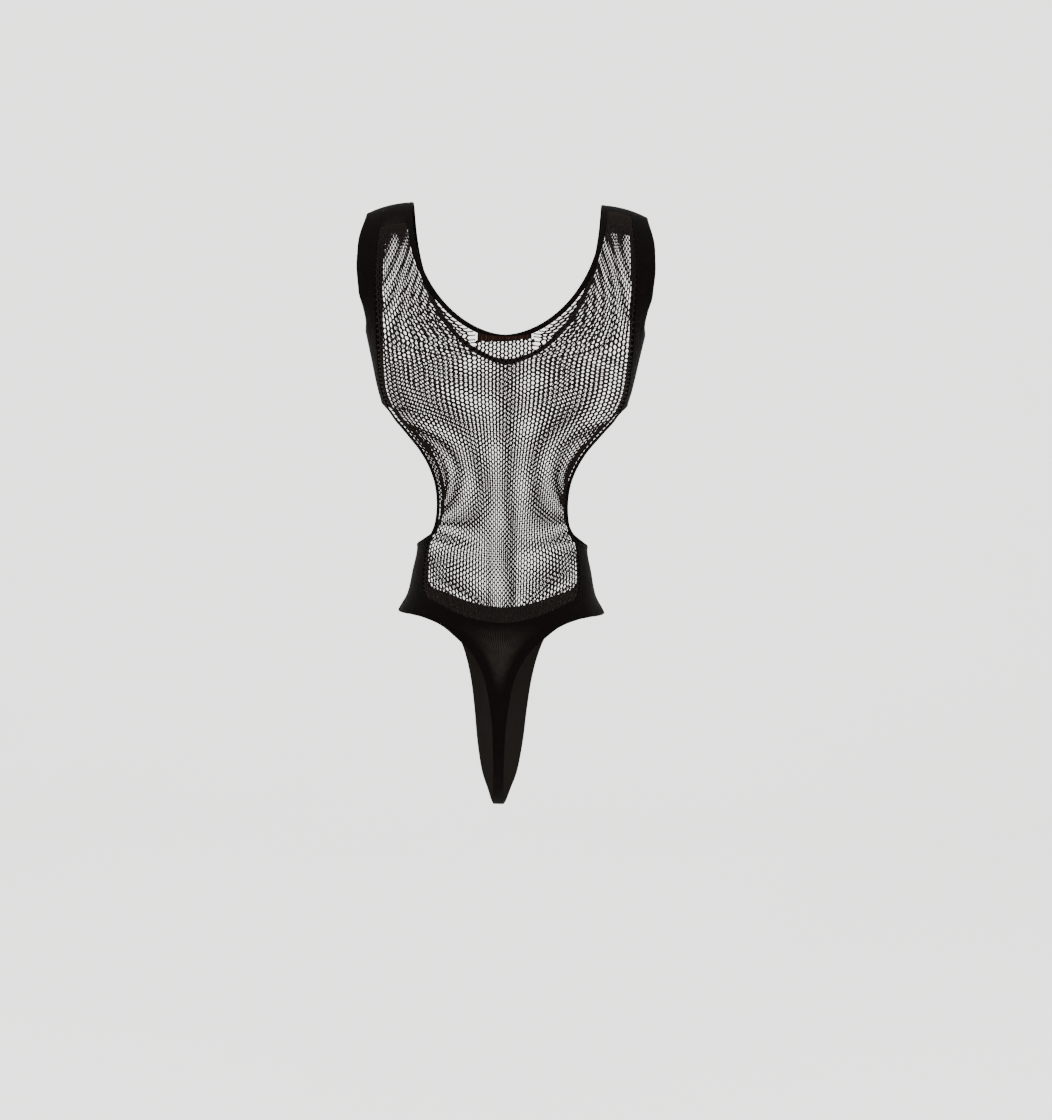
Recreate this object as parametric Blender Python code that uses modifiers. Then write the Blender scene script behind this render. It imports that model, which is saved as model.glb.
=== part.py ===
"""Net bodysuit with side cut-outs and a narrow back strap, in the hollow shape that it has when worn.

Metres, +Z up. The back is +Y, the front is -Y and the wearer's left is +X. The origin lies on the
shoulder line, midway between the shoulders, where the wearer holds the garment up. Every piece is a
wall of cloth that lies on one plain figure with oval sections, and "down" is measured from the
shoulder line, as in a straight view from behind.
"""

import math

import bmesh
import bpy
from mathutils import Vector

# Cloth
WALL = 0.0012
SEAM_GAP = 0.0003

# The plain figure: half width, and depth behind and before the side line
FIGURE = (
    dict(down=0.000, half=0.1880, back=0.074, front=0.070),
    dict(down=0.060, half=0.1850, back=0.084, front=0.078),
    dict(down=0.095, half=0.1750, back=0.091, front=0.088),
    dict(down=0.115, half=0.1630, back=0.093, front=0.094),
    dict(down=0.135, half=0.1530, back=0.094, front=0.100),
    dict(down=0.160, half=0.1468, back=0.095, front=0.106),
    dict(down=0.200, half=0.1380, back=0.094, front=0.112),
    dict(down=0.230, half=0.1290, back=0.091, front=0.111),
    dict(down=0.300, half=0.1110, back=0.081, front=0.096),
    dict(down=0.340, half=0.1000, back=0.076, front=0.088),
    dict(down=0.372, half=0.0925, back=0.075, front=0.085),
    dict(down=0.400, half=0.0972, back=0.079, front=0.085),
    dict(down=0.425, half=0.1025, back=0.084, front=0.087),
    dict(down=0.440, half=0.1105, back=0.087, front=0.089),
    dict(down=0.455, half=0.1185, back=0.088, front=0.090),
)
SECTION_POWER = 2.4  # roundness of the oval sections: 2 is an ellipse
ROLL = 0.090  # the shoulders round over within this much height
HIP = 0.455  # below this the cloth sweeps forwards to the crotch
CROTCH = 0.657
LOW_ARC = 0.240  # length of the cloth's sweep from hip to crotch
MIDDLE = Vector((0, 0, -0.300))  # inside the figure, so that outwards is away from it

# The shoulder line falls from the neck to the arm
SLOPE_START = 0.095
SLOPE_END = 0.154
SLOPE_FALL = 0.014
SLOPE_POWER = 2.2
SLOPE_FADE = 0.120

# Neckline: an oval scoop that is deeper in front
NECK_HALF = 0.1022
NECK_BACK = 0.1438
NECK_FRONT = 0.1650
NECK_WIDTH_POWER = 1.8
NECK_DEPTH_POWER = 2.15
NECK_BINDING = 0.005
NECK_BINDING_AT_TAB = 0.002  # the binding narrows to this in the middle of the back

# Gathered tab under the middle of the back neckline
TAB_HALF = 0.0285
TAB_BOTTOM = 0.1500
TAB_SLANT = 0.0018  # its bottom edge is this much lower at the left end, and higher at the right
TAB_GATHERS = 16
TAB_GATHER_HEIGHT = 0.0005
TAB_STEPS = 4 * TAB_GATHERS + 2  # four columns to a gather, and a flat one at each side

# Armhole from the shoulder line to its bottom, as degrees away from the side line
ARMHOLE = (
    dict(away=39.5, down=0.0000),
    dict(away=38.7, down=0.0080),
    dict(away=35.3, down=0.0300),
    dict(away=33.7, down=0.0560),
    dict(away=29.8, down=0.0910),
    dict(away=19.6, down=0.1250),
    dict(away=10.0, down=0.1370),
    dict(away=0.0, down=0.1415),
)
ARM_BAND_FALL = 0.4  # the arm band's lines fall first and then turn towards its seam

# Seam between the dense arm band and the net
ARM_SEAM = (
    dict(down=0.000, half=0.1325),
    dict(down=0.031, half=0.1355),
    dict(down=0.074, half=0.1387),
    dict(down=0.105, half=0.1382),
    dict(down=0.158, half=0.1365),
    dict(down=0.187, half=0.1343),
    dict(down=0.206, half=0.1311),
)
SHOULDER_BACK_LEFT = 0.027  # the dense shoulder reaches this far down the back
SHOULDER_BACK_RIGHT = 0.010
SHOULDER_FRONT = 0.024

# Side cut-out: a blunt egg round the side line, as degrees away from that line
CUTOUT = (
    dict(away=0.0, down=0.2165),
    dict(away=10.0, down=0.2185),
    dict(away=19.6, down=0.2246),
    dict(away=26.9, down=0.2353),
    dict(away=33.2, down=0.2438),
    dict(away=40.7, down=0.2565),
    dict(away=46.3, down=0.2681),
    dict(away=51.2, down=0.2850),
    dict(away=53.4, down=0.3040),
    dict(away=52.0, down=0.3250),
    dict(away=47.5, down=0.3440),
    dict(away=40.5, down=0.3565),
    dict(away=32.4, down=0.3634),
    dict(away=16.0, down=0.3690),
    dict(away=0.0, down=0.3705),
)
CUTOUT_TOP = 2.0  # the arm seam meets the binding at this row of the table
CUTOUT_LOW = 11.75  # and the hip seam here
CUTOUT_BINDING = 0.003
METRES_PER_DEGREE = 0.0015  # along the cloth round the waist

# Seam between the net and the dense hip band, which ends at the leg opening
HIP_SEAM = (
    dict(down=0.3752, half=0.0811),
    dict(down=0.3903, half=0.0830),
    dict(down=0.4062, half=0.0836),
    dict(down=0.4160, half=0.0828),
    dict(down=0.4250, half=0.0785),
)
NET_BOTTOM = 0.448
BELLY_POWER = 1.25  # how round a row of the net hangs between its two ends

# Dense back piece, from the net's lower edge down to the end of the strap
BACK_YOKE = (
    dict(half=0.0785, edge=0.4250, centre=0.4480, power=1.25),
    dict(half=0.0860, edge=0.4350, centre=0.4530, power=1.50),
    dict(half=0.0960, edge=0.4440, centre=0.4600, power=2.30),
    dict(half=0.0821, edge=0.4460, centre=0.4670, power=2.00),
    dict(half=0.0643, edge=0.4522, centre=0.4760, power=2.00),
    dict(half=0.0424, edge=0.4696, centre=0.4890, power=2.00),
    dict(half=0.0293, edge=0.4828, centre=0.4995, power=2.00),
    dict(half=0.0228, edge=0.4934, centre=0.5075, power=2.00),
    dict(half=0.0179, edge=0.5041, centre=0.5160, power=2.00),
    dict(half=0.0138, edge=0.5182, centre=0.5270, power=2.00),
    dict(half=0.0100, edge=0.5401, centre=0.5465, power=2.00),
    dict(half=0.0073, edge=0.5646, centre=0.5690, power=2.00),
    dict(half=0.0060, edge=0.5990, centre=0.6010, power=2.00),
    dict(half=0.0058, edge=0.6330, centre=0.6330, power=2.00),
    dict(half=0.0060, edge=0.6570, centre=0.6570, power=2.00),
)

# Dense front piece, finished plainly
FRONT_BRIEF = (
    dict(half=0.0785, edge=0.4250, centre=0.4480, power=1.25),
    dict(half=0.0860, edge=0.4350, centre=0.4530, power=1.50),
    dict(half=0.0960, edge=0.4440, centre=0.4610, power=2.30),
    dict(half=0.0830, edge=0.4470, centre=0.4700, power=2.00),
    dict(half=0.0680, edge=0.4570, centre=0.4810, power=2.00),
    dict(half=0.0540, edge=0.4740, centre=0.4970, power=2.00),
    dict(half=0.0430, edge=0.4980, centre=0.5180, power=2.00),
    dict(half=0.0350, edge=0.5290, centre=0.5440, power=2.00),
    dict(half=0.0300, edge=0.5630, centre=0.5730, power=2.00),
    dict(half=0.0260, edge=0.5980, centre=0.6030, power=2.00),
    dict(half=0.0200, edge=0.6290, centre=0.6310, power=2.00),
    dict(half=0.0120, edge=0.6480, centre=0.6490, power=2.00),
    dict(half=0.0060, edge=0.6570, centre=0.6570, power=2.00),
)
SIDE_SEAM_ROWS = 2  # table rows that the yoke and the brief share with the hip bands

# Net rows and columns
SHOULDER_ROWS = 4
STRAP_ROWS = 14
TAB_ROWS = 1
CHEST_ROWS = 5
TIP_STEPS = 3
CUTOUT_ROWS = 14
LOW_STEPS = 6
HIP_ROWS = 5
SIDE_COLUMNS = 6
TAB_COLUMNS = 4
TAB_ROW_OUTER = 0.158  # the row that starts at the tab's corner ends here on the arm seam
LEVEL_ROW = 0.300  # rows run level here, and hang lower in the middle below it
WAIST_TAB_HALF = 0.024  # the tab's columns narrow to this from there down

BACK = 1
FRONT = -1
LEFT = 1
RIGHT = -1


def smooth(rows, key, column, at):
    """The column's value on a smooth curve through the table's rows."""
    keys = [row[key] for row in rows]
    values = [row[column] for row in rows]
    if at <= keys[0]:
        return values[0]
    if at >= keys[-1]:
        return values[-1]
    slopes = []
    for i in range(len(keys)):
        low, high = max(i - 1, 0), min(i + 1, len(keys) - 1)
        slopes.append((values[high] - values[low]) / (keys[high] - keys[low]))
    i = max(k for k in range(len(keys) - 1) if keys[k] <= at)
    span = keys[i + 1] - keys[i]
    t = (at - keys[i]) / span
    return (
        values[i] * (1 + 2 * t) * (1 - t) ** 2
        + slopes[i] * span * t * (1 - t) ** 2
        + values[i + 1] * t * t * (3 - 2 * t)
        + slopes[i + 1] * span * t * t * (t - 1)
    )


def mix(a, b, share):
    return a + (b - a) * share


def level_of(down):
    """Distance along the cloth from the shoulder line, for a height below it."""
    if down < ROLL:
        return ROLL * math.acos(1 - max(down, 0) / ROLL)
    level = ROLL * math.pi / 2 + min(down, HIP) - ROLL
    if down > HIP:
        sweep = math.asin(min((down - HIP) / (CROTCH - HIP), 1))
        level += LOW_ARC * sweep / (math.pi / 2)
    return level


def down_of(level):
    """Height below the shoulder line, for a distance along the cloth."""
    roll_end = ROLL * math.pi / 2
    if level < roll_end:
        return ROLL * (1 - math.cos(level / ROLL))
    down = level - roll_end + ROLL
    if down > HIP:
        sweep = min((down - HIP) / LOW_ARC, 1) * math.pi / 2
        down = HIP + (CROTCH - HIP) * math.sin(sweep)
    return down


def between(start, end, count):
    """Heights from start to end, evenly spaced along the cloth."""
    first, last = level_of(start), level_of(end)
    return [down_of(mix(first, last, i / count)) for i in range(count + 1)]


def shoulder_fall(x, down):
    share = max(abs(x) - SLOPE_START, 0) / (SLOPE_END - SLOPE_START)
    return SLOPE_FALL * share**SLOPE_POWER * max(1 - down / SLOPE_FADE, 0)


def on_figure(x, down, side):
    """The point of the figure behind or before x, at that height below the shoulder line."""
    half = smooth(FIGURE, "down", "half", down)
    depth = smooth(FIGURE, "down", "back" if side == BACK else "front", down)
    share = min(abs(x) / half, 1)
    oval = (1 - share**SECTION_POWER) ** (1 / SECTION_POWER)
    if down > HIP:
        drop = (down - HIP) / (CROTCH - HIP)
        reach = math.sqrt(max(1 - drop * drop, 0))
        return Vector((x, side * depth * oval * reach, -HIP - (down - HIP) * oval))
    reach = math.sqrt(1 - max(1 - down / ROLL, 0) ** 2)
    return Vector((x, side * depth * oval * reach, -down - shoulder_fall(x, down)))


def half_at(angle, down):
    """The x of a point that many degrees round from the middle of the back."""
    half = smooth(FIGURE, "down", "half", down)
    return half * math.sin(math.radians(angle)) ** (2 / SECTION_POWER)


def angle_at(x, down):
    half = smooth(FIGURE, "down", "half", down)
    return math.degrees(math.asin(min(abs(x) / half, 1) ** (SECTION_POWER / 2)))


def round_figure(angle, down, hand):
    """The point at an angle: 0 is the middle of the back, 90 the side and 180 the front."""
    side = BACK if angle <= 90 else FRONT
    folded = angle if angle <= 90 else 180 - angle
    point = on_figure(half_at(folded, down), down, side)
    return Vector((point.x * hand, point.y, point.z))


def neck_edge(turn, side, grow):
    """The neckline from the shoulder, turn 0, to the middle, turn 90: (x, down)."""
    depth = NECK_BACK if side == BACK else NECK_FRONT
    turn = math.radians(turn)
    across = max(math.cos(turn), 0) ** (2 / NECK_WIDTH_POWER)
    return (NECK_HALF + grow) * across, (depth + grow) * math.sin(turn) ** (2 / NECK_DEPTH_POWER)


def neck_turn(down, side, grow):
    depth = NECK_BACK if side == BACK else NECK_FRONT
    return math.degrees(math.asin((down / (depth + grow)) ** (NECK_DEPTH_POWER / 2)))


def neck_turn_at_x(x, grow):
    return math.degrees(math.acos((x / (NECK_HALF + grow)) ** (NECK_WIDTH_POWER / 2)))


def along(table, column, position):
    """The column's value at a place counted in rows. Heights are spread along the cloth."""
    is_height = column in ("down", "edge", "centre")
    numbered = []
    for i, row in enumerate(table):
        value = level_of(row[column]) if is_height else row[column]
        numbered.append(dict(position=i, value=value))
    value = smooth(numbered, "position", "value", position)
    return down_of(value) if is_height else value


def armhole_edge(share):
    """The armhole from the shoulder line, share 0, to its bottom, share 1: (degrees round, down)."""
    position = share * (len(ARMHOLE) - 1)
    return 90 - along(ARMHOLE, "away", position), along(ARMHOLE, "down", position)


def cutout_edge(position, grow):
    """The cut-out from its top, past its widest, to its bottom: (degrees round, down).

    position counts the table's rows, and grow moves the edge outwards by that many metres.
    """

    def table_point(at):
        return along(CUTOUT, "away", at) * METRES_PER_DEGREE, along(CUTOUT, "down", at)

    away, down = table_point(position)
    before, after = table_point(position - 0.1), table_point(position + 0.1)
    across, fall = after[0] - before[0], after[1] - before[1]
    if position in (0, len(CUTOUT) - 1):
        fall = 0
    length = math.hypot(across, fall)
    away += grow * fall / length
    down -= grow * across / length
    return 90 - away / METRES_PER_DEGREE, down


def belly(share, power):
    """How far the cloth of a row hangs down: 0 at its ends and 1 in the middle."""
    return max(1 - share * share, 0) ** power


def cutout_point(position):
    """The outer edge of a cut-out's binding, as (x, down)."""
    angle, down = cutout_edge(position, CUTOUT_BINDING)
    return half_at(angle, down), down


def cutout_positions(start, end, steps):
    return [mix(start, end, i / steps) for i in range(steps + 1)]


def arm_seam(top):
    """The arm band's seam from the shoulder line to the cut-out, as (x, down)."""
    end_half, end_down = cutout_point(CUTOUT_TOP)
    table = ARM_SEAM + (dict(down=end_down, half=end_half),)
    downs = between(0, top, SHOULDER_ROWS)[:-1]
    downs += between(top, TAB_ROW_OUTER, STRAP_ROWS + TAB_ROWS)[:-1]
    downs += between(TAB_ROW_OUTER, end_down, CHEST_ROWS)
    return [(smooth(table, "down", "half", down), down) for down in downs]


def hip_seam():
    """The hip band's seam with the net, from the cut-out down, as (x, down)."""
    start_half, start_down = cutout_point(CUTOUT_LOW)
    table = (dict(down=start_down, half=start_half),) + HIP_SEAM
    downs = between(start_down, HIP_SEAM[-1]["down"], HIP_ROWS)
    return [(smooth(table, "down", "half", down), down) for down in downs]


def net_side(top):
    """The net's side edge from its top: arm seam, cut-out and hip seam, as (x, down)."""
    positions = cutout_positions(CUTOUT_TOP, CUTOUT_LOW, CUTOUT_ROWS)[1:-1]
    round_cutout = [cutout_point(position) for position in positions]
    return arm_seam(top)[SHOULDER_ROWS:] + round_cutout + hip_seam()


def neck_turns(top, side):
    """Turns round the neckline from the shoulder line to the tab's corner."""
    turns = [neck_turn(down, side, NECK_BINDING) for down in between(0, top, SHOULDER_ROWS)]
    start, corner = turns[-1], neck_turn_at_x(TAB_HALF, NECK_BINDING)
    return turns + [mix(start, corner, row / STRAP_ROWS) for row in range(1, STRAP_ROWS + 1)]


def neck_seam(top, side):
    """The neck binding's seam from the shoulder line to the tab's corner, as (x, down)."""
    return [neck_edge(turn, side, NECK_BINDING) for turn in neck_turns(top, side)]


def neck_bottom(x, side):
    """Height of the neck binding's seam between the tab's corners."""
    down = neck_edge(neck_turn_at_x(abs(x), NECK_BINDING), side, NECK_BINDING)[1]
    if side == BACK:
        down -= (NECK_BINDING - NECK_BINDING_AT_TAB) * (1 - (x / TAB_HALF) ** 2)
    return down


def net_inner(top, side, hand, side_edge):
    """The line from the shoulder along the neck binding to the tab, then down the body: (x, down)."""
    edge = neck_seam(top, side)[SHOULDER_ROWS:]
    edge.append((TAB_HALF, tab_bottom(hand * TAB_HALF, side)))
    for x, down in side_edge[STRAP_ROWS + TAB_ROWS + 1 :]:
        edge.append((tab_column_half(down), row_centre(down, side)))
    return edge


def tab_bottom(x, side):
    """Height of the tab's bottom edge, or in front of the row of net in that place."""
    if side == BACK:
        return TAB_BOTTOM + TAB_SLANT * x / TAB_HALF
    return TAB_BOTTOM + NECK_FRONT - NECK_BACK


def tab_column_half(down):
    share = min(max((down - TAB_ROW_OUTER) / (LEVEL_ROW - TAB_ROW_OUTER), 0), 1)
    return mix(TAB_HALF, WAIST_TAB_HALF, share)


def row_centre(outer_down, side):
    """How low a row of the net hangs in the middle, for its height at the side edge."""
    start = tab_bottom(0, side)
    if outer_down < LEVEL_ROW:
        share = (outer_down - TAB_ROW_OUTER) / (LEVEL_ROW - TAB_ROW_OUTER)
        return mix(start, LEVEL_ROW, share)
    share = (outer_down - LEVEL_ROW) / (HIP_SEAM[-1]["down"] - LEVEL_ROW)
    return mix(LEVEL_ROW, NET_BOTTOM, share)


def make_material(name, colour, roughness):
    material = bpy.data.materials.new(name)
    material.use_nodes = True
    shader = material.node_tree.nodes["Principled BSDF"]
    shader.inputs["Base Color"].default_value = (*colour, 1)
    shader.inputs["Roughness"].default_value = roughness
    shader.inputs["Metallic"].default_value = 0
    return material


def draw_in_edges(bm):
    """Moves each edge of the cloth back by half the seam's gap."""
    moves = {}
    for vert in bm.verts:
        if not vert.is_boundary:
            continue
        inner = [edge for edge in vert.link_edges if not edge.is_boundary]
        ways = inner or vert.link_edges
        total = Vector()
        for edge in ways:
            total += (edge.other_vert(vert).co - vert.co).normalized()
        if inner:
            total = total.normalized()
        moves[vert] = total * SEAM_GAP / 2
    for vert, move in moves.items():
        vert.co += move


def make_wall(name, material, columns, rows, place, keep=None, ring=False):
    """A piece of cloth from a grid: place(column, row) gives a point of its inner face."""
    bm = bmesh.new()
    bmesh.ops.create_grid(bm, x_segments=columns, y_segments=rows, size=0.5)
    cells = {}
    for vert in bm.verts:
        cells[vert] = (round((vert.co.x + 0.5) * columns), round((vert.co.y + 0.5) * rows))
    if keep:
        spare = []
        for face in bm.faces:
            column = min(cells[vert][0] for vert in face.verts)
            row = min(cells[vert][1] for vert in face.verts)
            if not keep(column, row):
                spare.append(face)
        bmesh.ops.delete(bm, geom=spare, context="FACES")
    for vert in bm.verts:
        vert.co = place(*cells[vert])
    if ring:
        bmesh.ops.remove_doubles(bm, verts=bm.verts, dist=0.00001)
    bm.normal_update()
    facing = sum(face.normal.dot(face.calc_center_median() - MIDDLE) for face in bm.faces)
    if facing < 0:
        bmesh.ops.reverse_faces(bm, faces=bm.faces)
    draw_in_edges(bm)
    mesh = bpy.data.meshes.new(name)
    bm.to_mesh(mesh)
    bm.free()
    mesh.shade_smooth()
    mesh.materials.append(material)
    piece = bpy.data.objects.new(name, mesh)
    thickness = piece.modifiers.new("cloth", "SOLIDIFY")
    thickness.thickness = WALL
    thickness.offset = 1
    thickness.use_even_offset = True
    bpy.data.collections["net_bodysuit"].objects.link(piece)
    return piece


def make_net(name, material, side, tops):
    """The net panel, split at the neck into two straps. tops holds each strap's upper end."""
    edges = {}
    for hand in (LEFT, RIGHT):
        side_edge = net_side(tops[hand])
        edges[hand] = (net_inner(tops[hand], side, hand, side_edge), side_edge)
    rows = len(edges[LEFT][1]) - 1
    tab_rows = STRAP_ROWS + TAB_ROWS
    open_rows = tab_rows if side == BACK else STRAP_ROWS
    columns = 2 * SIDE_COLUMNS + TAB_COLUMNS

    def place(column, row):
        hand = LEFT if column > columns / 2 else RIGHT
        inner, outer = edges[hand][0][row], edges[hand][1][row]
        from_middle = abs(column - columns / 2)
        outside_tab = from_middle >= TAB_COLUMNS / 2
        if outside_tab:
            share = (from_middle - TAB_COLUMNS / 2) / SIDE_COLUMNS
            x = mix(inner[0], outer[0], share)
        else:
            x = inner[0] * from_middle / (TAB_COLUMNS / 2)
        if row > tab_rows:
            down = mix(outer[1], row_centre(outer[1], side), belly(x / outer[0], BELLY_POWER))
        elif outside_tab:
            down = mix(inner[1], outer[1], share)
        elif row == tab_rows:
            down = tab_bottom(hand * x, side)
        else:
            down = neck_bottom(x, side)
        return on_figure(hand * x, down, side)

    def keep(column, row):
        beside_tab = column < SIDE_COLUMNS or column >= SIDE_COLUMNS + TAB_COLUMNS
        return beside_tab or row >= open_rows

    make_wall(name, material, columns, rows, place, keep)


def make_arm_band(name, material, hand, back_reach):
    """The dense ring round an armhole, with a tail that runs down to the cut-out."""
    across = 3
    tail = [cutout_point(position) for position in cutout_positions(CUTOUT_TOP, 0, TIP_STEPS)[1:]]
    outer = arm_seam(back_reach) + tail
    front = arm_seam(SHOULDER_FRONT) + tail
    half_ring = len(outer) - 1
    armhole = [armhole_edge(step / half_ring) for step in range(half_ring + 1)]

    def place(column, row):
        behind = column <= half_ring
        step = column if behind else 2 * half_ring - column
        x, seam_down = (outer if behind else front)[step]
        inner_angle, inner_down = armhole[step]
        share = row / across
        angle = mix(inner_angle, angle_at(x, seam_down), share)
        fall = share**ARM_BAND_FALL
        down = down_of(mix(level_of(inner_down), level_of(seam_down), fall))
        return round_figure(angle if behind else 180 - angle, down, hand)

    make_wall(name, material, 2 * half_ring, across, place, ring=True)


def make_shoulder(name, material, hand, back_reach):
    """The dense saddle over a shoulder, between the neck binding and the arm band."""

    def place(column, row):
        side = BACK if row <= SHOULDER_ROWS else FRONT
        top = back_reach if side == BACK else SHOULDER_FRONT
        step = abs(SHOULDER_ROWS - row)
        neck_x, down = neck_seam(top, side)[step]
        arm_x = arm_seam(top)[step][0]
        return on_figure(hand * mix(neck_x, arm_x, column / SIDE_COLUMNS), down, side)

    make_wall(name, material, SIDE_COLUMNS, 2 * SHOULDER_ROWS, place)


def make_neck_binding(name, material, back_tops):
    """The narrow band round the whole neckline."""
    around = []
    for side, first, steps in ((BACK, LEFT, TAB_STEPS), (FRONT, RIGHT, TAB_COLUMNS)):
        tops = back_tops if side == BACK else {LEFT: SHOULDER_FRONT, RIGHT: SHOULDER_FRONT}
        around += [(side, first, turn) for turn in neck_turns(tops[first], side)]
        for step in range(1, steps):
            share = 1 - 2 * step / steps
            hand = first if share > 0 else -first
            around.append((side, hand, neck_turn_at_x(TAB_HALF * abs(share), NECK_BINDING)))
        rising = neck_turns(tops[-first], side)[:0:-1]
        around += [(side, -first, turn) for turn in rising]
    around.append(around[0])

    def place(column, row):
        side, hand, turn = around[column]
        x, down = neck_edge(turn, side, NECK_BINDING * row)
        if row and x < TAB_HALF:
            down = neck_bottom(x, side)
        return on_figure(hand * x, down, side)

    make_wall(name, material, len(around) - 1, 1, place, ring=True)


def make_tab(name, material):
    """The small gathered piece under the back neckline, with its gathers as low waves."""

    def place(column, row):
        x = mix(-TAB_HALF, TAB_HALF, column / TAB_STEPS)
        down = mix(neck_bottom(x, BACK), tab_bottom(x, BACK), row)
        wave = min(max(column - 1, 0), TAB_STEPS - 2)
        lift = TAB_GATHER_HEIGHT * (1 - math.cos(wave * math.pi / 2)) / 2
        return on_figure(x, down, BACK) + Vector((0, lift, 0))

    make_wall(name, material, TAB_STEPS, 1, place)


def make_cutout_binding(name, material, hand):
    """The narrow band round a side cut-out."""
    positions = cutout_positions(0, CUTOUT_TOP, TIP_STEPS)
    positions += cutout_positions(CUTOUT_TOP, CUTOUT_LOW, CUTOUT_ROWS)[1:]
    positions += cutout_positions(CUTOUT_LOW, len(CUTOUT) - 1, LOW_STEPS)[1:]
    half_ring = len(positions) - 1

    def place(column, row):
        step = column if column <= half_ring else 2 * half_ring - column
        angle, down = cutout_edge(positions[step], CUTOUT_BINDING * row)
        return round_figure(angle if column <= half_ring else 180 - angle, down, hand)

    make_wall(name, material, 2 * half_ring, 1, place, ring=True)


def make_hip_band(name, material, hand):
    """The dense side piece, from the cut-out down to the leg opening."""
    low_rows = 2 * SIDE_SEAM_ROWS
    across, seam_rows = 2 * LOW_STEPS, HIP_ROWS + low_rows
    positions = cutout_positions(CUTOUT_LOW, len(CUTOUT) - 1, LOW_STEPS)
    seams = {}
    for side, table in ((BACK, BACK_YOKE), (FRONT, FRONT_BRIEF)):
        low_seam = [yoke_row(table, step / 2)[:2] for step in range(1, low_rows + 1)]
        seams[side] = hip_seam() + low_seam
    start_angle, start_down = cutout_edge(CUTOUT_LOW, CUTOUT_BINDING)
    leg_top = BACK_YOKE[SIDE_SEAM_ROWS]["edge"]

    def place(column, row):
        behind = column <= LOW_STEPS
        seam_x, seam_down = seams[BACK if behind else FRONT][row]
        step = column if behind else across - column
        from_seam = step / LOW_STEPS
        top_angle, top_down = cutout_edge(positions[step], CUTOUT_BINDING)
        spread = (top_angle - start_angle) / (90 - start_angle)
        spread = mix(spread, from_seam, row / seam_rows)
        angle = mix(angle_at(seam_x, seam_down), 90, spread)
        down = mix(top_down, leg_top, (seam_down - start_down) / (leg_top - start_down))
        return round_figure(angle if behind else 180 - angle, down, hand)

    make_wall(name, material, across, seam_rows, place)


def yoke_row(table, position):
    """(half width, height at the edge, height in the middle, power) at a place between table rows."""
    return tuple(along(table, column, position) for column in ("half", "edge", "centre", "power"))


def make_lower_piece(name, material, table, side):
    """The dense yoke and strap, or the brief: rows from the net's lower edge to the crotch."""
    columns = 2 * SIDE_COLUMNS + TAB_COLUMNS
    last = len(table) - 1
    positions = [i / 2 for i in range(2 * SIDE_SEAM_ROWS)]
    positions += list(range(SIDE_SEAM_ROWS, last - 2))
    positions += [last - 2 + i / 4 for i in range(9)]
    net_half = HIP_SEAM[-1]["half"]

    def place(column, row):
        half, edge, centre, power = yoke_row(table, positions[row])
        from_middle = abs(column - columns / 2)
        if from_middle > TAB_COLUMNS / 2:
            share = (from_middle - TAB_COLUMNS / 2) / SIDE_COLUMNS
            x = mix(WAIST_TAB_HALF, net_half, share)
        else:
            x = WAIST_TAB_HALF * from_middle / (TAB_COLUMNS / 2)
        share = x / net_half
        hand = LEFT if column > columns / 2 else RIGHT
        return on_figure(hand * share * half, mix(edge, centre, belly(share, power)), side)

    make_wall(name, material, columns, len(positions) - 1, place)


def main():
    for obj in list(bpy.data.objects):
        bpy.data.objects.remove(obj)
    collection = bpy.data.collections.new("net_bodysuit")
    bpy.context.scene.collection.children.link(collection)
    net = make_material("black_net", (0.012, 0.011, 0.011), 0.75)
    knit = make_material("black_dense_knit", (0.008, 0.007, 0.007), 0.80)
    binding = make_material("black_binding", (0.006, 0.005, 0.005), 0.70)
    gathers = make_material("sheer_gathers", (0.020, 0.012, 0.010), 0.75)
    back_tops = {LEFT: SHOULDER_BACK_LEFT, RIGHT: SHOULDER_BACK_RIGHT}
    front_tops = {LEFT: SHOULDER_FRONT, RIGHT: SHOULDER_FRONT}
    make_net("back_net", net, BACK, back_tops)
    make_net("front_net", net, FRONT, front_tops)
    make_neck_binding("neck_binding", binding, back_tops)
    make_tab("back_neck_tab", gathers)
    make_shoulder("left_shoulder", knit, LEFT, SHOULDER_BACK_LEFT)
    make_shoulder("right_shoulder", knit, RIGHT, SHOULDER_BACK_RIGHT)
    for prefix, hand in (("left", LEFT), ("right", RIGHT)):
        make_arm_band(f"{prefix}_arm_band", knit, hand, back_tops[hand])
        make_cutout_binding(f"{prefix}_cutout_binding", binding, hand)
        make_hip_band(f"{prefix}_hip_band", knit, hand)
    make_lower_piece("back_yoke_and_strap", knit, BACK_YOKE, BACK)
    make_lower_piece("front_brief", knit, FRONT_BRIEF, FRONT)


main()
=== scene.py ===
import math

import bpy
from mathutils import Matrix, Vector


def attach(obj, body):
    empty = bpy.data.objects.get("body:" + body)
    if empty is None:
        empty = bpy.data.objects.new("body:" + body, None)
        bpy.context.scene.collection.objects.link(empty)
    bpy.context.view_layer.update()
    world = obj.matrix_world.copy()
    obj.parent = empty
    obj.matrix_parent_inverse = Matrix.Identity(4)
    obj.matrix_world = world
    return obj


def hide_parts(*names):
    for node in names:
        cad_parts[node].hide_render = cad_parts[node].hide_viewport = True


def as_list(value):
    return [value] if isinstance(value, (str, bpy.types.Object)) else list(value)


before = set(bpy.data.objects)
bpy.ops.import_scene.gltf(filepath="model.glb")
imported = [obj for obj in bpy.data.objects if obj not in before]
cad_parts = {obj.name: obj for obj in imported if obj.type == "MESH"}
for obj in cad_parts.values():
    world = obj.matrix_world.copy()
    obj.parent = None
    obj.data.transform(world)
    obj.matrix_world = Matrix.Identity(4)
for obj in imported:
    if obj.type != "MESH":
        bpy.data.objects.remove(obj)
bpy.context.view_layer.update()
print("frame loaded", sorted(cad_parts))

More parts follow.
